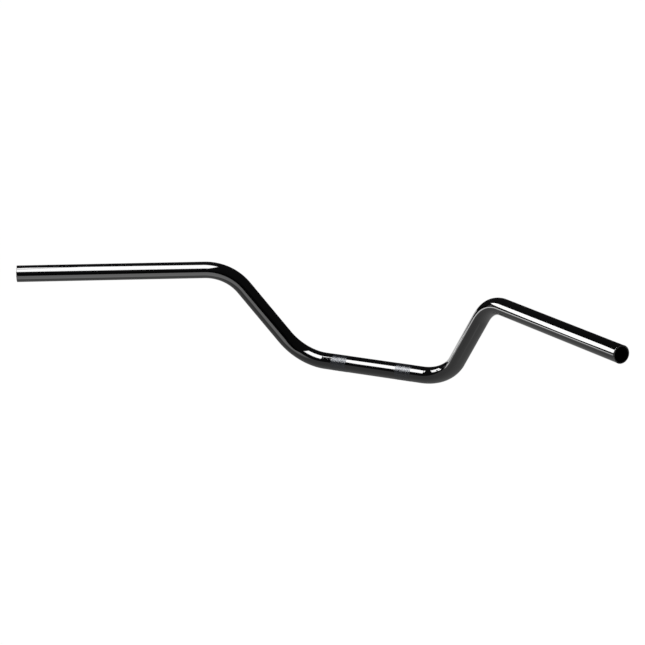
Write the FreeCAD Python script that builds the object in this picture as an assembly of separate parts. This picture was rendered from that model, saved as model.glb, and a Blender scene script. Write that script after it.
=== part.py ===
import FreeCAD, Part
import math
import os
from FreeCAD import Vector

# A touring handlebar: one steel tube, bent twice on each side and open at both ends.
# +X points to the rider's right, +Y forwards and +Z up.
# The origin is on the tube's centreline, in the middle of the straight that the clamps hold.
# Lengths are in millimetres and angles in degrees.

# The tube
TUBE_DIAMETER = 22.0
TUBE_WALL = 2.0
BEND_RADIUS = 66.0  # at the centreline, one bending die for all four bends
END_ROUND = 0.6  # on both edges of each cut end

# The line of the bar
CLAMP_STRAIGHT = 143.0  # between the two lower bends
RISE = 121.0  # from the clamp axis up to the corners of the upper bends
RISER_SPLAY_ANGLE = 34.2  # outwards from upright, seen from the front
RISER_LEAN_ANGLE = 22.8  # back from upright, seen from the side
BAR_WIDTH = 850.0  # between the middles of the two ends
GRIP_SWEEP_ANGLE = 32.5  # back from straight across, seen from above
GRIP_DROOP_ANGLE = 0.7  # down from level, seen from the front

# The knurled bands that the clamps bite on
KNURL_LENGTH = 22.0
KNURL_INSET = 13.0  # plain tube between a band and the bend beside it
KNURL_HEIGHT = 0.08  # of the rolled crests above the plain tube


def slope(degrees):
    """Sideways travel for each millimetre along, at this angle."""
    return math.tan(math.radians(degrees))


def tangent_length(turn, radius):
    """Distance from a corner to the point where an arc of this radius leaves the straight."""
    return radius * math.tan(turn / 2)


def across(point):
    """The same point on the other side of the bar."""
    return Vector(-point.x, point.y, point.z)


def bent_line(corners, radius):
    """A wire from the first corner to the last, with an arc of one radius at each corner between."""
    edges = []
    run_start = corners[0]
    for before, corner, after in zip(corners, corners[1:], corners[2:]):
        back = (before - corner).normalize()
        onward = (after - corner).normalize()
        turn = math.pi - back.getAngle(onward)
        reach = tangent_length(turn, radius)
        arc_start = corner + back * reach
        arc_end = corner + onward * reach
        inward = (back + onward).normalize()
        arc_middle = corner + inward * radius * (1 / math.cos(turn / 2) - 1)
        edges.append(Part.LineSegment(run_start, arc_start).toShape())
        edges.append(Part.Arc(arc_start, arc_middle, arc_end).toShape())
        run_start = arc_end
    edges.append(Part.LineSegment(run_start, corners[-1]).toShape())
    return Part.Wire(edges)


def ring_face(centre, axis, outer_radius, inner_radius):
    """A flat ring, square to an axis."""
    outer = Part.Wire(Part.makeCircle(outer_radius, centre, axis))
    inner = Part.Wire(Part.makeCircle(inner_radius, centre, axis))
    return Part.makeFace([outer, inner], "Part::FaceMakerBullseye")


# The four corners and two ends of the centreline
side = Vector(1, 0, 0)
riser = Vector(slope(RISER_SPLAY_ANGLE), -slope(RISER_LEAN_ANGLE), 1)
grip = Vector(1, -slope(GRIP_SWEEP_ANGLE), -slope(GRIP_DROOP_ANGLE))
lower_reach = tangent_length(side.getAngle(riser), BEND_RADIUS)
lower_corner = side * (CLAMP_STRAIGHT / 2 + lower_reach)
upper_corner = lower_corner + riser * RISE
bar_end = upper_corner + grip * (BAR_WIDTH / 2 - upper_corner.x)
left_half = [across(bar_end), across(upper_corner), across(lower_corner)]
centreline = bent_line(left_half + [lower_corner, upper_corner, bar_end], BEND_RADIUS)

# The bent tube: a ring swept from the left end to the right end
tube_radius = TUBE_DIAMETER / 2
bore_radius = tube_radius - TUBE_WALL
section = ring_face(across(bar_end), across(grip), tube_radius, bore_radius)
bar = centreline.makePipe(section)

# The knurled bands: raised collars rolled up out of the tube's own wall
band_middle = CLAMP_STRAIGHT / 2 - KNURL_INSET - KNURL_LENGTH / 2
for band_centre in (-band_middle, band_middle):
    band_start = side * (band_centre - KNURL_LENGTH / 2)
    collar = ring_face(band_start, side, tube_radius + KNURL_HEIGHT, tube_radius - TUBE_WALL / 2)
    bar = bar.fuse(collar.extrude(side * KNURL_LENGTH))

# The cut ends: the saw's sharp edges taken off, outside and in the bore
end_edges = []
for edge in bar.Edges:
    for end in (bar_end, across(bar_end)):
        if isinstance(edge.Curve, Part.Circle) and edge.Curve.Center.isEqual(end, END_ROUND):
            end_edges.append(edge)
bar = bar.makeFillet(min(END_ROUND, TUBE_WALL / 3), end_edges)

os.makedirs("parts", exist_ok=True)
bar.Solids[0].exportStep("parts/handlebar_tube.step")
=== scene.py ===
import math

import bpy
from mathutils import Matrix, Vector


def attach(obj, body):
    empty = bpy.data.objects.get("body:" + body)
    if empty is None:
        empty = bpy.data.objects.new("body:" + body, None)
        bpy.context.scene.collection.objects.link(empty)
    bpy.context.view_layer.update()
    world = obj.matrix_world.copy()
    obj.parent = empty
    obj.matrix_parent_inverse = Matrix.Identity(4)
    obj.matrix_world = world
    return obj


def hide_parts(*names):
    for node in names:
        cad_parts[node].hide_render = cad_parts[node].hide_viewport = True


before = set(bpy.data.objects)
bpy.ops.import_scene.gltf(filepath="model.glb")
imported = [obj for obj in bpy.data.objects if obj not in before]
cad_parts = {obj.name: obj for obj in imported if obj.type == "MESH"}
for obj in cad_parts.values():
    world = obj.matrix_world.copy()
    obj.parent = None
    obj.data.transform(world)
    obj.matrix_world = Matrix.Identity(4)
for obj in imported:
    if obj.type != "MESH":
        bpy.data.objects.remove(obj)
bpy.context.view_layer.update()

# The line of the bar: where the maker bends the tube, twice on each side, all four on one die.
# Up and back out of the clamp straight first, then out, back and slightly down to the grips.
BEND_RADIUS = 0.066  # at the tube's centreline
CLAMP_STRAIGHT = 0.143  # between the two lower bends
RISE = 0.121  # from the clamp axis up to the corners of the upper bends
RISER_SPLAY = math.radians(34.2)  # outwards from upright, seen from the front
RISER_LEAN = math.radians(22.8)  # back from upright, seen from the side
BAR_WIDTH = 0.850  # between the middles of the two ends
GRIP_SWEEP = math.radians(32.5)  # back from straight across, seen from above
GRIP_DROOP = math.radians(0.7)  # down from level, seen from the front

side = Vector((1, 0, 0))
riser = Vector((math.tan(RISER_SPLAY), -math.tan(RISER_LEAN), 1))
grip = Vector((1, -math.tan(GRIP_SWEEP), -math.tan(GRIP_DROOP)))
lower_turn = side.angle(riser)
upper_turn = riser.angle(grip)
lower_reach = BEND_RADIUS * math.tan(lower_turn / 2)
upper_reach = BEND_RADIUS * math.tan(upper_turn / 2)
lower_corner = side * (CLAMP_STRAIGHT / 2 + lower_reach)
upper_corner = lower_corner + riser * RISE
bar_end = upper_corner + grip * (BAR_WIDTH / 2 - upper_corner.x)

# Lengths along the centreline, from the middle of the bar outwards
lower_bend_start = CLAMP_STRAIGHT / 2
lower_bend_end = lower_bend_start + BEND_RADIUS * lower_turn
upper_bend_start = lower_bend_end + (upper_corner - lower_corner).length - lower_reach - upper_reach
upper_bend_end = upper_bend_start + BEND_RADIUS * upper_turn
half_length = upper_bend_end + (bar_end - upper_corner).length - upper_reach


# The finish: gloss black lacquer, sprayed over the whole outside and baked, with a clear coat on top.
# It has the faint orange peel of sprayed paint, and on the knurl it is thinner, duller and cooler.
# Inside the bore there is only thin, dull overspray on the drawn steel.
LACQUER_IOR = 1.6
CLEAR_COAT_IOR = 1.8
BLACK_DEEP = (0.0012, 0.0012, 0.0014, 1)
BLACK_THIN = (0.0026, 0.0026, 0.0030, 1)
DRIFT_SCALE = 14  # patches of thicker and thinner paint in a metre
HAZE_SCALE = 90  # patches of clearer and duller paint in a metre
GLOSS_ROUGHNESS = (0.03, 0.06)
GLOSS_COAT_ROUGHNESS = 0.018
PEEL_SCALE = 420  # waves of orange peel in a metre
PEEL_HEIGHT = 0.00000015
KNURL_DEEP = (0.0050, 0.0052, 0.0066, 1)
KNURL_WORN = (0.0120, 0.0124, 0.0150, 1)
KNURL_GLINT = (0.80, 0.87, 1.00, 1)  # tint of what the knurl mirrors
WEAR_SCALE = 240
KNURL_ROUGHNESS = (0.26, 0.38)
KNURL_COAT_ROUGHNESS = 0.13
OVERSPRAY = (0.010, 0.010, 0.011, 1)
DRAWN_STEEL = (0.060, 0.058, 0.056, 1)
BARE_METAL = 0.3  # share of the bore where the steel shows through
MIST_SCALE = 160
BORE_ROUGHNESS = (0.42, 0.60)
GRAIN_SCALE = 1400
GRAIN_HEIGHT = 0.00002
NOISE_LOW = 0.3  # most of a noise's values lie between these
NOISE_HIGH = 0.7
COLOUR_A = 6  # a colour mix's sockets, which share their names with its other kinds
COLOUR_B = 7
COLOUR_RESULT = 2


def add_node(tree, kind, inputs=None, **settings):
    """A node of this kind with its settings made, and each input given a value or linked to a socket."""
    node = tree.nodes.new(kind)
    for name, value in settings.items():
        setattr(node, name, value)
    for name, value in (inputs or {}).items():
        if isinstance(value, bpy.types.NodeSocket):
            tree.links.new(value, node.inputs[name])
        else:
            node.inputs[name].default_value = value
    return node


def new_material(name):
    """A material with an empty node tree: the material, its tree and the surface socket to fill."""
    material = bpy.data.materials.new(name)
    material.use_nodes = True
    material.node_tree.nodes.clear()
    output = add_node(material.node_tree, "ShaderNodeOutputMaterial")
    return material, material.node_tree, output.inputs["Surface"]


def own_place(tree):
    """Each point's place in the frame that all pieces share."""
    return add_node(tree, "ShaderNodeTexCoord").outputs["Object"]


def noise(tree, place, scale, detail):
    """Soft random values, with about this many patches in a metre."""
    sockets = {"Vector": place, "Scale": scale, "Detail": detail}
    return add_node(tree, "ShaderNodeTexNoise", sockets).outputs["Fac"]


def two_tone(tree, amount, low, high):
    """A colour that runs from low to high as an amount runs from 0 to 1."""
    mix = add_node(tree, "ShaderNodeMix", {"Factor": amount}, data_type="RGBA")
    mix.inputs[COLOUR_A].default_value = low
    mix.inputs[COLOUR_B].default_value = high
    return mix.outputs[COLOUR_RESULT]


def span(tree, value, low, high):
    """A noise's values, stretched to run from low to high."""
    sockets = {"Value": value, "From Min": NOISE_LOW, "From Max": NOISE_HIGH}
    sockets.update({"To Min": low, "To Max": high})
    return add_node(tree, "ShaderNodeMapRange", sockets).outputs["Result"]


def bumps(tree, height, distance):
    """The normals of a surface whose fine relief is this high."""
    return add_node(tree, "ShaderNodeBump", {"Height": height, "Distance": distance}).outputs["Normal"]


def gloss_black_lacquer():
    """Deep black under a clear coat, both with the same orange peel."""
    material, tree, surface = new_material("gloss_black_lacquer")
    place = own_place(tree)
    drift = noise(tree, place, DRIFT_SCALE, 3)
    haze = noise(tree, place, HAZE_SCALE, 4)
    peel = bumps(tree, noise(tree, place, PEEL_SCALE, 1.5), PEEL_HEIGHT)
    sockets = {
        "Base Color": two_tone(tree, span(tree, drift, 0, 1), BLACK_DEEP, BLACK_THIN),
        "Roughness": span(tree, haze, *GLOSS_ROUGHNESS),
        "IOR": LACQUER_IOR,
        "Coat Weight": 1.0,
        "Coat Roughness": GLOSS_COAT_ROUGHNESS,
        "Coat IOR": CLEAR_COAT_IOR,
        "Normal": peel,
        "Coat Normal": peel,
    }
    paint = add_node(tree, "ShaderNodeBsdfPrincipled", sockets)
    tree.links.new(paint.outputs["BSDF"], surface)
    return material


def knurl_lacquer():
    """Thin, worn lacquer that lies dull over the points and grooves."""
    material, tree, surface = new_material("knurl_lacquer")
    wear = noise(tree, own_place(tree), WEAR_SCALE, 4)
    sockets = {
        "Base Color": two_tone(tree, span(tree, wear, 0, 1), KNURL_DEEP, KNURL_WORN),
        "Roughness": span(tree, wear, *KNURL_ROUGHNESS),
        "IOR": LACQUER_IOR,
        "Specular Tint": KNURL_GLINT,
        "Coat Weight": 1.0,
        "Coat Roughness": KNURL_COAT_ROUGHNESS,
        "Coat IOR": CLEAR_COAT_IOR,
    }
    paint = add_node(tree, "ShaderNodeBsdfPrincipled", sockets)
    tree.links.new(paint.outputs["BSDF"], surface)
    return material


def bore_overspray():
    """Patchy overspray on rough drawn steel."""
    material, tree, surface = new_material("bore_overspray")
    place = own_place(tree)
    mist = noise(tree, place, MIST_SCALE, 5)
    sockets = {
        "Base Color": two_tone(tree, span(tree, mist, 0, 1), OVERSPRAY, DRAWN_STEEL),
        "Metallic": BARE_METAL,
        "Roughness": span(tree, mist, *BORE_ROUGHNESS),
        "Normal": bumps(tree, noise(tree, place, GRAIN_SCALE, 2), GRAIN_HEIGHT),
    }
    steel = add_node(tree, "ShaderNodeBsdfPrincipled", sockets)
    tree.links.new(steel.outputs["BSDF"], surface)
    return material


lacquer = gloss_black_lacquer()
dull_lacquer = knurl_lacquer()
overspray = bore_overspray()


# The tube before bending: a straight length of steel, 22 mm across with a 2 mm wall.
# It is sawn square at both ends, and the saw's edges are rounded over, outside and in the bore.
# It lies along X here, and its wall is left open where the knurled bands go.
TUBE_RADIUS = 0.011
TUBE_WALL = 0.002
LIP_ROUND = 0.0006
LIP_STEPS = 6
LIP_MARGIN = 0.0004  # of plain wall held straight beside the rounding
BEND_STEP = math.radians(2)  # between rows on a bend, outside
BORE_STEP = math.radians(4)  # and in the bore
RUN_STEP = 0.02  # between rows on a straight run
KNURL_LENGTH = 0.022
KNURL_INSET = 0.013  # plain tube between a band and the bend beside it
KNURL_ROOT = TUBE_RADIUS - 0.00001  # at the bottom of the grooves
KNURL_CREST = TUBE_RADIUS + 0.00002  # at the points of the diamonds
KNURL_SLOPE = 0.00008  # length of the slope from the plain wall down to the grooves
KNURL_MARGIN = 0.0003  # of plain wall held round beside a band
WALL_START = 0.0012  # from a band's edge to the first row of the long wall
DIAMONDS_ROUND = 100  # diamonds in one ring
SIDES_ROUND = 2 * DIAMONDS_ROUND  # so that the wall's edge meets each diamond at its corners

bore_radius = TUBE_RADIUS - TUBE_WALL
band_middle = CLAMP_STRAIGHT / 2 - KNURL_INSET - KNURL_LENGTH / 2
band_inner = band_middle - KNURL_LENGTH / 2
band_outer = band_middle + KNURL_LENGTH / 2


def spread(start, end, step):
    """Even stations from start up to, but not at, end, about one step apart."""
    count = max(1, math.ceil((end - start) / step))
    return [start + (end - start) * index / count for index in range(count)]


def half_stations(start, bend_step):
    """Stations from one on the clamp straight out to just before the end's rounding."""
    bend_run = BEND_RADIUS * bend_step
    rows = spread(start, lower_bend_start, RUN_STEP)
    rows += spread(lower_bend_start, lower_bend_end, bend_run)
    rows += spread(lower_bend_end, upper_bend_start, RUN_STEP)
    rows += spread(upper_bend_start, upper_bend_end, bend_run)
    rows += spread(upper_bend_end, half_length - LIP_ROUND - LIP_MARGIN, RUN_STEP)
    return rows + [half_length - LIP_ROUND - LIP_MARGIN]


def band_edge(edge, away):
    """Stations and radii from a band's edge up its slope to the plain wall, going away from the band."""
    on_slope = (edge + away * KNURL_SLOPE, TUBE_RADIUS)
    on_wall = (edge + away * KNURL_MARGIN, TUBE_RADIUS)
    return [(edge, KNURL_ROOT), on_slope, on_wall]


def right_outline():
    """Stations and radii from the right band, out along the wall, round the lip and back down the bore."""
    outline = band_edge(band_outer, 1)
    wall_rows = half_stations(band_outer + WALL_START, BEND_STEP)
    outline += [(station, TUBE_RADIUS) for station in wall_rows]
    lip_start = half_length - LIP_ROUND
    quarter = [math.pi / 2 * step / LIP_STEPS for step in range(LIP_STEPS + 1)]
    for angle in quarter:
        drop = LIP_ROUND * (1 - math.cos(angle))
        outline.append((lip_start + LIP_ROUND * math.sin(angle), TUBE_RADIUS - drop))
    for angle in reversed(quarter):
        drop = LIP_ROUND * (1 - math.cos(angle))
        outline.append((lip_start + LIP_ROUND * math.sin(angle), bore_radius + drop))
    outline += [(station, bore_radius) for station in reversed(half_stations(0, BORE_STEP))]
    return outline


def turn_outline(outline):
    """Points and faces of rings round X, one ring for each station and radius of the outline."""
    points = []
    for station, radius in outline:
        for corner in range(SIDES_ROUND):
            angle = 2 * math.pi * corner / SIDES_ROUND
            points.append((station, radius * math.sin(angle), radius * math.cos(angle)))
    faces = []
    for row in range(len(outline) - 1):
        here = row * SIDES_ROUND
        there = here + SIDES_ROUND
        for corner in range(SIDES_ROUND):
            after = (corner + 1) % SIDES_ROUND
            faces.append((here + corner, there + corner, there + after, here + after))
    return points, faces


def mirrored(outline):
    """The same outline on the other half of the bar, in the order that keeps its faces outwards."""
    return [(-station, radius) for station, radius in reversed(outline)]


long_points, long_faces = turn_outline(right_outline() + mirrored(right_outline()[:-1]))
middle_half = band_edge(band_inner, -1)[::-1]
middle_points, middle_faces = turn_outline(mirrored(middle_half) + middle_half)
shift = len(long_points)
middle_faces = [tuple(corner + shift for corner in face) for face in middle_faces]
straight_tube = bpy.data.meshes.new("straight_tube")
straight_tube.from_pydata(long_points + middle_points, [], long_faces + middle_faces)
straight_tube.materials.append(lacquer)
straight_tube.shade_smooth()


# The knurled bands: two rings of small diamonds, rolled into the tube's own wall where the clamps bite.
# A knurling wheel presses two sets of crossed grooves, and pointed diamonds stand between them.
# The nodes lay the diamonds out flat in staggered rows, trim the ends square and wrap them round the tube.
KNURL_ROWS = 65  # rings of diamonds in a band, an odd number so that both edges match
DIAMOND_WELD = 0.000001  # between neighbours' corners, which become one point


def new_tree(name, inputs):
    """A node tree with these named inputs: the tree, and its input sockets by name."""
    tree = bpy.data.node_groups.new(name, "GeometryNodeTree")
    tree.interface.new_socket("Geometry", in_out="OUTPUT", socket_type="NodeSocketGeometry")
    for label, kind in [("Geometry", "Geometry"), *inputs]:
        tree.interface.new_socket(label, in_out="INPUT", socket_type="NodeSocket" + kind)
    return tree, add_node(tree, "NodeGroupInput").outputs


def end_tree(tree, geometry):
    """Hands the finished geometry out of a node tree."""
    tree.links.new(geometry, add_node(tree, "NodeGroupOutput").inputs["Geometry"])


def calc(tree, operation, first, second=0.0):
    """The result of one operation on two numbers."""
    return add_node(tree, "ShaderNodeMath", {0: first, 1: second}, operation=operation).outputs[0]


def calc_vector(tree, operation, first, second):
    """The result of one operation on two vectors."""
    return add_node(tree, "ShaderNodeVectorMath", {0: first, 1: second}, operation=operation).outputs[0]


def vector(tree, x, y, z):
    """A vector made of three numbers."""
    return add_node(tree, "ShaderNodeCombineXYZ", {"X": x, "Y": y, "Z": z}).outputs[0]


def knurl_tree():
    """The node tree that makes the two bands on the straight tube."""
    inputs = [
        ("Band Length", "Float"),
        ("Band Middle", "Float"),
        ("Rows", "Int"),
        ("Diamonds Round", "Int"),
        ("Root Radius", "Float"),
        ("Crest Radius", "Float"),
        ("Finish", "Material"),
    ]
    tree, given = new_tree("roll_knurl", inputs)
    half_band = calc(tree, "DIVIDE", given["Band Length"], 2.0)
    row_gap = calc(tree, "DIVIDE", given["Band Length"], calc(tree, "SUBTRACT", given["Rows"], 1.0))
    diamond_angle = calc(tree, "DIVIDE", 2 * math.pi, given["Diamonds Round"])
    depth = calc(tree, "SUBTRACT", given["Crest Radius"], given["Root Radius"])

    # One diamond, laid flat: its length along X, its share of the turn along Y, its height along Z
    cone = {"Vertices": 4, "Radius Top": 0.0, "Radius Bottom": 1.0, "Depth": depth}
    pointed = add_node(tree, "GeometryNodeMeshCone", cone, fill_type="NONE").outputs["Mesh"]
    size = vector(tree, row_gap, calc(tree, "DIVIDE", diamond_angle, 2.0), 1.0)
    diamond = add_node(tree, "GeometryNodeTransform", {"Geometry": pointed, "Scale": size}).outputs[0]

    # The rows, every second one moved round by half a diamond
    index = add_node(tree, "GeometryNodeInputIndex").outputs[0]
    row = calc(tree, "FLOOR", calc(tree, "DIVIDE", index, given["Diamonds Round"]))
    column = calc(tree, "MODULO", index, given["Diamonds Round"])
    stagger = calc(tree, "DIVIDE", calc(tree, "MODULO", row, 2.0), 2.0)
    along = calc(tree, "SUBTRACT", calc(tree, "MULTIPLY", row, row_gap), half_band)
    turned = calc(tree, "MULTIPLY", calc(tree, "ADD", column, stagger), diamond_angle)
    count = calc(tree, "MULTIPLY", given["Rows"], given["Diamonds Round"])
    places = {"Count": count, "Position": vector(tree, along, turned, 0.0)}
    points = add_node(tree, "GeometryNodePoints", places).outputs[0]
    copies = add_node(tree, "GeometryNodeInstanceOnPoints", {"Points": points, "Instance": diamond})
    sheet = add_node(tree, "GeometryNodeRealizeInstances", {"Geometry": copies.outputs[0]}).outputs[0]

    # Trimmed square at both edges, and wrapped round the tube
    place = add_node(tree, "GeometryNodeInputPosition").outputs[0]
    flat = add_node(tree, "ShaderNodeSeparateXYZ", {0: place}).outputs
    low = calc(tree, "MAXIMUM", flat["X"], calc(tree, "MULTIPLY", half_band, -1.0))
    trimmed = calc(tree, "MINIMUM", low, half_band)
    radius = calc(tree, "ADD", flat["Z"], given["Root Radius"])
    wide = calc(tree, "MULTIPLY", radius, calc(tree, "SINE", flat["Y"]))
    high = calc(tree, "MULTIPLY", radius, calc(tree, "COSINE", flat["Y"]))
    wrap = {"Geometry": sheet, "Position": vector(tree, trimmed, wide, high)}
    band = add_node(tree, "GeometryNodeSetPosition", wrap).outputs[0]
    weld = {"Geometry": band, "Distance": DIAMOND_WELD}
    band = add_node(tree, "GeometryNodeMergeByDistance", weld).outputs[0]

    # One band each side of the middle
    right_place = vector(tree, given["Band Middle"], 0.0, 0.0)
    left_place = vector(tree, calc(tree, "MULTIPLY", given["Band Middle"], -1.0), 0.0, 0.0)
    both = add_node(tree, "GeometryNodeJoinGeometry")
    for shift_to in (right_place, left_place):
        moved = add_node(tree, "GeometryNodeTransform", {"Geometry": band, "Translation": shift_to})
        tree.links.new(moved.outputs[0], both.inputs[0])
    faceted = {"Geometry": both.outputs[0], "Shade Smooth": False}
    bands = add_node(tree, "GeometryNodeSetShadeSmooth", faceted).outputs[0]
    painted = add_node(tree, "GeometryNodeSetMaterial", {"Geometry": bands, "Material": given["Finish"]})
    end_tree(tree, painted.outputs[0])
    return tree


def made_by(tree, start, values):
    """The plain mesh that a node tree makes from a starting mesh, with these values at its named inputs."""
    blank = bpy.data.objects.new(tree.name, start)
    bpy.context.scene.collection.objects.link(blank)
    modifier = blank.modifiers.new(tree.name, "NODES")
    modifier.node_group = tree
    for socket in tree.interface.items_tree:
        if socket.in_out == "INPUT" and socket.name in values:
            modifier[socket.identifier] = values[socket.name]
    graph = bpy.context.evaluated_depsgraph_get()
    mesh = bpy.data.meshes.new_from_object(blank.evaluated_get(graph))
    blank.modifiers.remove(modifier)
    bpy.data.objects.remove(blank)
    bare_slots = [index for index, finish in enumerate(mesh.materials) if finish is None]
    for index in reversed(bare_slots):
        mesh.materials.pop(index=index)
    return mesh


knurl_sizes = {
    "Band Length": KNURL_LENGTH,
    "Band Middle": band_middle,
    "Rows": KNURL_ROWS,
    "Diamonds Round": DIAMONDS_ROUND,
    "Root Radius": KNURL_ROOT,
    "Crest Radius": KNURL_CREST,
    "Finish": dull_lacquer,
}
knurled_bands = made_by(knurl_tree(), bpy.data.meshes.new("no_mesh"), knurl_sizes)


# The finished bar: the knurled tube bent cold along its line, then lacquered.
# The line is drawn through its corners and rounded at each by the die's radius.
# Each point of the straight tube goes to the same length along that line, at the same place round it.
LINE_STEPS = 240  # points on each rounded corner of the line
SKIN_WELD = 0.000002  # between the wall's edge and the bands', which become one


def bend_tree():
    """The node tree that joins the tube and its bands, and bends them along the line."""
    inputs = [
        ("Bands", "Object"),
        ("Lower Corner", "Vector"),
        ("Upper Corner", "Vector"),
        ("Bar End", "Vector"),
        ("Bend Radius", "Float"),
        ("Tube Length", "Float"),
        ("Middle Of Wall", "Float"),
        ("Band Middle", "Float"),
        ("Band Length", "Float"),
        ("Outside Finish", "Material"),
        ("Band Finish", "Material"),
        ("Bore Finish", "Material"),
    ]
    tree, given = new_tree("bend_on_die", inputs)

    # The line, from the left end to the right end
    right_corners = [given["Lower Corner"], given["Upper Corner"], given["Bar End"]]
    left_corners = [calc_vector(tree, "MULTIPLY", corner, (-1, 1, 1)) for corner in reversed(right_corners)]
    corners = left_corners + right_corners
    chosen = add_node(tree, "GeometryNodeIndexSwitch", data_type="VECTOR")
    while len(chosen.index_switch_items) < len(corners):
        chosen.index_switch_items.new()
    tree.links.new(add_node(tree, "GeometryNodeInputIndex").outputs[0], chosen.inputs["Index"])
    for number, corner in enumerate(corners):
        tree.links.new(corner, chosen.inputs[str(number)])
    chain = add_node(tree, "GeometryNodeMeshLine", {"Count": len(corners)}).outputs[0]
    drawn = {"Geometry": chain, "Position": chosen.outputs[0]}
    drawn = add_node(tree, "GeometryNodeSetPosition", drawn).outputs[0]
    curve = add_node(tree, "GeometryNodeMeshToCurve", {"Mesh": drawn}).outputs[0]
    rounding = {"Curve": curve, "Count": LINE_STEPS, "Radius": given["Bend Radius"]}
    line = add_node(tree, "GeometryNodeFilletCurve", rounding, mode="POLY").outputs[0]

    # The tube and its knurled bands, made one skin
    bands = add_node(tree, "GeometryNodeObjectInfo", {"Object": given["Bands"]}).outputs["Geometry"]
    whole = add_node(tree, "GeometryNodeJoinGeometry")
    tree.links.new(bands, whole.inputs[0])
    tree.links.new(given["Geometry"], whole.inputs[0])
    skin = {"Geometry": whole.outputs[0], "Distance": SKIN_WELD}
    skin = add_node(tree, "GeometryNodeMergeByDistance", skin).outputs[0]

    # Which faces are in the bore and which on the bands, noted while the tube is straight
    place = add_node(tree, "GeometryNodeInputPosition").outputs[0]
    straight = add_node(tree, "ShaderNodeSeparateXYZ", {0: place}).outputs
    across = vector(tree, 0.0, straight["Y"], straight["Z"])
    from_axis = add_node(tree, "ShaderNodeVectorMath", {0: across}, operation="LENGTH").outputs["Value"]
    in_bore = calc(tree, "LESS_THAN", from_axis, given["Middle Of Wall"])
    from_middle = calc(tree, "ABSOLUTE", straight["X"])
    from_band = calc(tree, "ABSOLUTE", calc(tree, "SUBTRACT", from_middle, given["Band Middle"]))
    on_band = calc(tree, "LESS_THAN", from_band, calc(tree, "DIVIDE", given["Band Length"], 2.0))
    noted = add_node(tree, "GeometryNodeCaptureAttribute", domain="FACE")
    noted.capture_items.new("FLOAT", "In Bore")
    noted.capture_items.new("FLOAT", "On Band")
    tree.links.new(skin, noted.inputs["Geometry"])
    tree.links.new(in_bore, noted.inputs["In Bore"])
    tree.links.new(on_band, noted.inputs["On Band"])

    # Each point carried to its place on the line
    share = calc(tree, "ADD", calc(tree, "DIVIDE", straight["X"], given["Tube Length"]), 0.5)
    station = add_node(tree, "GeometryNodeSampleCurve", {"Curves": line, "Factor": share}, mode="FACTOR")
    upward = station.outputs["Normal"]
    sideways = calc_vector(tree, "CROSS_PRODUCT", upward, station.outputs["Tangent"])
    out_y = add_node(tree, "ShaderNodeVectorMath", {0: sideways, "Scale": straight["Y"]}, operation="SCALE")
    out_z = add_node(tree, "ShaderNodeVectorMath", {0: upward, "Scale": straight["Z"]}, operation="SCALE")
    offset = calc_vector(tree, "ADD", out_y.outputs[0], out_z.outputs[0])
    bent_place = calc_vector(tree, "ADD", station.outputs["Position"], offset)
    bent = {"Geometry": noted.outputs["Geometry"], "Position": bent_place}
    bent = add_node(tree, "GeometryNodeSetPosition", bent).outputs[0]
    solid = add_node(tree, "GeometryNodeRealizeInstances", {"Geometry": bent}).outputs[0]
    outside = {"Geometry": solid, "Material": given["Outside Finish"]}
    outside = add_node(tree, "GeometryNodeSetMaterial", outside).outputs[0]
    banded = {"Geometry": outside, "Selection": noted.outputs["On Band"], "Material": given["Band Finish"]}
    banded = add_node(tree, "GeometryNodeSetMaterial", banded).outputs[0]
    bore = {"Geometry": banded, "Selection": noted.outputs["In Bore"], "Material": given["Bore Finish"]}
    end_tree(tree, add_node(tree, "GeometryNodeSetMaterial", bore).outputs[0])
    return tree


bands_object = bpy.data.objects.new("bands_before_bending", knurled_bands)
bend_sizes = {
    "Bands": bands_object,
    "Lower Corner": lower_corner,
    "Upper Corner": upper_corner,
    "Bar End": bar_end,
    "Bend Radius": BEND_RADIUS,
    "Tube Length": 2 * half_length,
    "Middle Of Wall": TUBE_RADIUS - TUBE_WALL / 2,
    "Band Middle": band_middle,
    "Band Length": KNURL_LENGTH,
    "Outside Finish": lacquer,
    "Band Finish": dull_lacquer,
    "Bore Finish": overspray,
}
bar_mesh = made_by(bend_tree(), straight_tube, bend_sizes)
bpy.data.objects.remove(bands_object)
bar = bpy.data.objects.new("bent_bar", bar_mesh)
bpy.context.scene.collection.objects.link(bar)
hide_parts("handlebar_tube")
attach(bar, "root")


# The floor: a plain pale painted floor, well below the bar, which hangs in its clamps.
# The lamps light it and it takes the bar's shadow. On top it has a painted glow, seen by the camera and the
# gloss: mid grey near the bar, painted shade on one side, a painted pool of light towards the camera, and
# white far off and in the camera's view behind the bar.
FLOOR_DROP = 2.2  # below the clamp axis
FLOOR_SIZE = 160
FLOOR_PALE = (0.80, 0.80, 0.80, 1)
FLOOR_DIM = (0.77, 0.77, 0.77, 1)
FLOOR_PATCHES = 3  # in a metre
GROUND_GLOW_LEVEL = 0.19  # how bright the floor's painted glow is near the bar
PAINTED_POOL_LEVEL = 0.85  # the painted pool of light towards the camera
WHITE_LEVEL = 1.0  # far off, and behind the bar
HORIZON = (5.5, 9.5)  # metres from the bar, where the ground starts to pale and where it is white
PAINTED_SHADE_HEADING = math.radians(210)  # the heading of the painted shade, where the glow stays grey, from straight ahead round by the right
PAINTED_SHADE_FAN = (math.cos(math.radians(62)), math.cos(math.radians(40)))  # where the painted shade ends and where it is full
PAINTED_POOL_FAN = (math.radians(50), math.radians(28))  # where the painted pool of light in front ends and where it is full
PAINTED_POOL_START = (0.45, 1.2)  # metres from the bar
WHITE_FAN = (math.tan(math.radians(14)), math.tan(math.radians(9.6)))  # half widths, from the camera
WHITE_START = (3.2, 4.3)  # metres behind the bar
VIEW_AZIMUTH = math.radians(29.65)  # of the camera, from straight behind round by the right
VIEW_ELEVATION = math.radians(13.77)
VIEW_DISTANCE = 2.860
VIEW_RIGHT = -0.06678  # how far the camera's aim is moved to the right of the bar's origin


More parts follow.
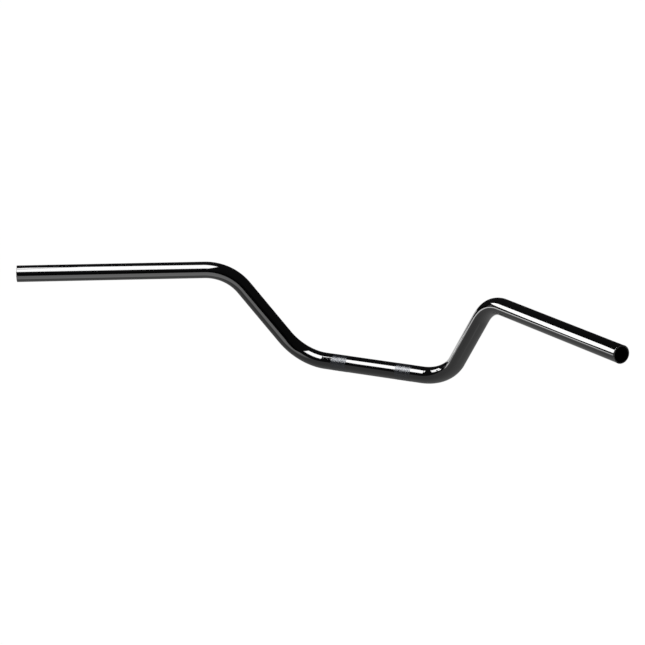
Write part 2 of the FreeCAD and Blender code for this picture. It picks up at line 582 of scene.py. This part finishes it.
def smooth_range(tree, value, start, end, low=0.0, high=1.0):
    """Low before start, high after end, and an even change between them."""
    sockets = {"Value": value, "From Min": start, "From Max": end, "To Min": low, "To Max": high}
    node = add_node(tree, "ShaderNodeMapRange", sockets, interpolation_type="SMOOTHSTEP")
    return node.outputs["Result"]


def distance_along(tree, place, direction):
    """How far a place lies in a direction from the bar's origin."""
    node = add_node(tree, "ShaderNodeVectorMath", {0: place, 1: direction}, operation="DOT_PRODUCT")
    return node.outputs["Value"]


def seen_directly(tree):
    """1 for rays from the camera and for what gloss and glass show, 0 for the rays that carry light."""
    path = add_node(tree, "ShaderNodeLightPath").outputs
    mirrored_too = calc(tree, "MAXIMUM", path["Is Camera Ray"], path["Is Glossy Ray"])
    return calc(tree, "MAXIMUM", mirrored_too, path["Is Transmission Ray"])


def studio_floor():
    """Pale paint that takes light and shadow, with a painted glow for the camera and the gloss at the level
    that its place gives.
    """
    material, tree, surface = new_material("studio_floor")
    place = own_place(tree)
    aside = distance_along(tree, place, (math.cos(VIEW_AZIMUTH), math.sin(VIEW_AZIMUTH), 0))
    behind = distance_along(tree, place, (-math.sin(VIEW_AZIMUTH), math.cos(VIEW_AZIMUTH), 0))
    flat = calc_vector(tree, "MULTIPLY", place, (1, 1, 0))
    reach = add_node(tree, "ShaderNodeVectorMath", {0: flat}, operation="LENGTH").outputs["Value"]

    # The white glow far off, all round but for the side of painted shade
    painted_shade_heading = distance_along(tree, place, (math.sin(PAINTED_SHADE_HEADING), math.cos(PAINTED_SHADE_HEADING), 0))
    outside_painted_shade = smooth_range(tree, calc(tree, "DIVIDE", painted_shade_heading, reach), *PAINTED_SHADE_FAN, 1.0, 0.0)
    horizon = calc(tree, "MULTIPLY", outside_painted_shade, smooth_range(tree, reach, *HORIZON))
    level = smooth_range(tree, horizon, 0.0, 1.0, GROUND_GLOW_LEVEL, WHITE_LEVEL)

    # The painted pool of light in front: a fan of brighter glow from under the bar towards the camera
    heading = calc(tree, "DIVIDE", behind, reach)
    fan = smooth_range(tree, heading, -math.cos(PAINTED_POOL_FAN[0]), -math.cos(PAINTED_POOL_FAN[1]))
    front = calc(tree, "MULTIPLY", fan, smooth_range(tree, reach, *PAINTED_POOL_START))
    level = smooth_range(tree, front, 0.0, 1.0, level, PAINTED_POOL_LEVEL)

    # The white behind: just what the camera's frame takes in
    from_axis = calc(tree, "ABSOLUTE", calc(tree, "SUBTRACT", aside, VIEW_RIGHT))
    from_camera = calc(tree, "ADD", behind, VIEW_DISTANCE * math.cos(VIEW_ELEVATION))
    framed = smooth_range(tree, calc(tree, "DIVIDE", from_axis, from_camera), *WHITE_FAN)
    white = calc(tree, "MULTIPLY", framed, smooth_range(tree, behind, *WHITE_START))
    level = smooth_range(tree, white, 0.0, 1.0, level, WHITE_LEVEL)

    patches = span(tree, noise(tree, place, FLOOR_PATCHES, 4), 0, 1)
    shade = two_tone(tree, patches, FLOOR_DIM, FLOOR_PALE)
    painted = add_node(tree, "ShaderNodeBsdfDiffuse", {"Color": shade})
    # The painted glow: emission added to what the lamps give, only where the camera or the gloss looks
    strength = calc(tree, "MULTIPLY", level, seen_directly(tree))
    ground = add_node(tree, "ShaderNodeEmission", {"Color": (1, 1, 1, 1), "Strength": strength})
    both = add_node(tree, "ShaderNodeAddShader", {0: painted.outputs[0], 1: ground.outputs[0]})
    tree.links.new(both.outputs[0], surface)
    return material


floor_mesh = bpy.data.meshes.new("studio_floor")
edge = FLOOR_SIZE / 2
floor_corners = [(-edge, -edge), (edge, -edge), (edge, edge), (-edge, edge)]
floor_mesh.from_pydata([(x, y, -FLOOR_DROP) for x, y in floor_corners], [], [(0, 1, 2, 3)])
floor_mesh.materials.append(studio_floor())
floor = bpy.data.objects.new("studio_floor", floor_mesh)
bpy.context.scene.collection.objects.link(floor)


# The light: a soft panel close above the bar draws the white streak along the left grip and the middle.
# One on the bar's left, with a weak low one under it, draws the right grip's.
# The room is dark, so that the black stays black.
KEY_PLACE = (-0.187, -0.350, 0.570)
KEY_AIM = (-0.165, -0.041, 0)
KEY_TURN = math.radians(14)
KEY_SIZE = (0.525, 0.50)
KEY_GLOW = 7.5
SIDE_PLACE = (-1.037, -0.199, 0.462)
SIDE_AIM = (0.30, -0.15, 0.12)
SIDE_TURN = math.radians(-34)
SIDE_SIZE = (0.54, 0.50)
SIDE_GLOW = 6.0
LOW_PLACE = (-1.05, 0.0, -0.16)
LOW_SIZE = (0.70, 0.12)
LOW_GLOW = 1.4
ROOM_GLOW = 0.012


def add_panel(name, place, towards, spin, size, glow):
    """A rectangular lamp of even brightness that faces a point. Gives back where it stands."""
    lamp = bpy.data.lights.new(name, "AREA")
    lamp.shape = "RECTANGLE"
    lamp.size, lamp.size_y = size
    lamp.energy = glow * math.pi * size[0] * size[1]
    panel = bpy.data.objects.new(name, lamp)
    panel.location = place
    aim = (Vector(towards) - Vector(place)).to_track_quat("-Z", "Y").to_matrix().to_4x4()
    turned = aim @ Matrix.Rotation(spin, 4, "Z")
    panel.rotation_euler = turned.to_euler()
    panel.visible_camera = False
    bpy.context.scene.collection.objects.link(panel)
    return Matrix.Translation(place) @ turned


on_key_panel = add_panel("key_panel", KEY_PLACE, KEY_AIM, KEY_TURN, KEY_SIZE, KEY_GLOW)
add_panel("side_panel", SIDE_PLACE, SIDE_AIM, SIDE_TURN, SIDE_SIZE, SIDE_GLOW)
add_panel("low_panel", LOW_PLACE, SIDE_AIM, 0.0, LOW_SIZE, LOW_GLOW)

room = bpy.data.worlds.new("dark_room")
room.use_nodes = True
room.node_tree.nodes["Background"].inputs["Color"].default_value = (1, 1, 1, 1)
room.node_tree.nodes["Background"].inputs["Strength"].default_value = ROOM_GLOW
bpy.context.scene.world = room


# The flags: three flat pieces of black felt that trim what the gloss mirrors, out of the camera's sight.
# One stands low on the camera's side and one on the bar's left, between the two panels there.
# The third is a narrow strip on the face of the upper panel, for the dark gap beside the left band.
FELT_DEEP = (0.001, 0.001, 0.001, 1)
FELT_NAP = (0.003, 0.003, 0.003, 1)
NAP_SCALE = 200
FRONT_FLAG_ENDS = ((0.06, -1.86), (1.70, -0.91))
FRONT_FLAG_HEIGHTS = (-0.50, 0.24)
SIDE_FLAG_ENDS = ((-1.00, -0.50), (-1.00, 0.45))
SIDE_FLAG_HEIGHTS = (-0.09, 0.13)
STRIP_LEFT = ((-0.333, -0.275), (-0.260, -0.093), (-0.217, 0.066), (-0.183, 0.255))  # on the panel's face
STRIP_RIGHT = ((-0.300, -0.275), (-0.231, -0.097), (-0.190, 0.062), (-0.168, 0.255))
STRIP_GAP = 0.006  # between the panel's face and the strip


def black_felt():
    """Matt black cloth with a fine nap."""
    material, tree, surface = new_material("black_felt")
    nap = noise(tree, own_place(tree), NAP_SCALE, 3)
    cloth = add_node(tree, "ShaderNodeBsdfDiffuse", {"Color": two_tone(tree, nap, FELT_DEEP, FELT_NAP)})
    tree.links.new(cloth.outputs[0], surface)
    return material


def upright(ends, heights):
    """The corners of an upright rectangle over a line on the ground."""
    low, high = heights
    return [(*end, low) for end in ends] + [(*end, high) for end in reversed(ends)]


def add_flag(name, corners, finish):
    """A flat black flag that the camera doesn't see, only the gloss."""
    mesh = bpy.data.meshes.new(name)
    mesh.from_pydata(corners, [], [range(len(corners))])
    mesh.materials.append(finish)
    flag = bpy.data.objects.new(name, mesh)
    flag.visible_camera = False
    bpy.context.scene.collection.objects.link(flag)


felt = black_felt()
add_flag("front_flag", upright(FRONT_FLAG_ENDS, FRONT_FLAG_HEIGHTS), felt)
add_flag("side_flag", upright(SIDE_FLAG_ENDS, SIDE_FLAG_HEIGHTS), felt)
strip_outline = STRIP_LEFT + STRIP_RIGHT[::-1]
add_flag("key_strip", [on_key_panel @ Vector((*corner, -STRIP_GAP)) for corner in strip_outline], felt)


# The camera: behind the rider's right side and a little above, with a long lens.
# Its place and its lens are the ones at which the bar's outline lies on the photo's.
VIEW_UP = 0.05932  # how far its aim is moved up from the bar's origin
VIEW_LENS = 121.73
camera_data = bpy.data.cameras.new("camera")
camera_data.lens = VIEW_LENS
camera = bpy.data.objects.new("camera", camera_data)
to_right = Vector((math.cos(VIEW_AZIMUTH), math.sin(VIEW_AZIMUTH), 0))
level_back = Vector((math.sin(VIEW_AZIMUTH), -math.cos(VIEW_AZIMUTH), 0))
to_back = level_back * math.cos(VIEW_ELEVATION) + Vector((0, 0, math.sin(VIEW_ELEVATION)))
to_top = to_back.cross(to_right)
camera.location = to_right * VIEW_RIGHT + to_top * VIEW_UP + to_back * VIEW_DISTANCE
camera.rotation_euler = (math.pi / 2 - VIEW_ELEVATION, 0, VIEW_AZIMUTH)
bpy.context.scene.collection.objects.link(camera)
bpy.context.scene.camera = camera
bpy.context.scene.view_settings.view_transform = "Standard"
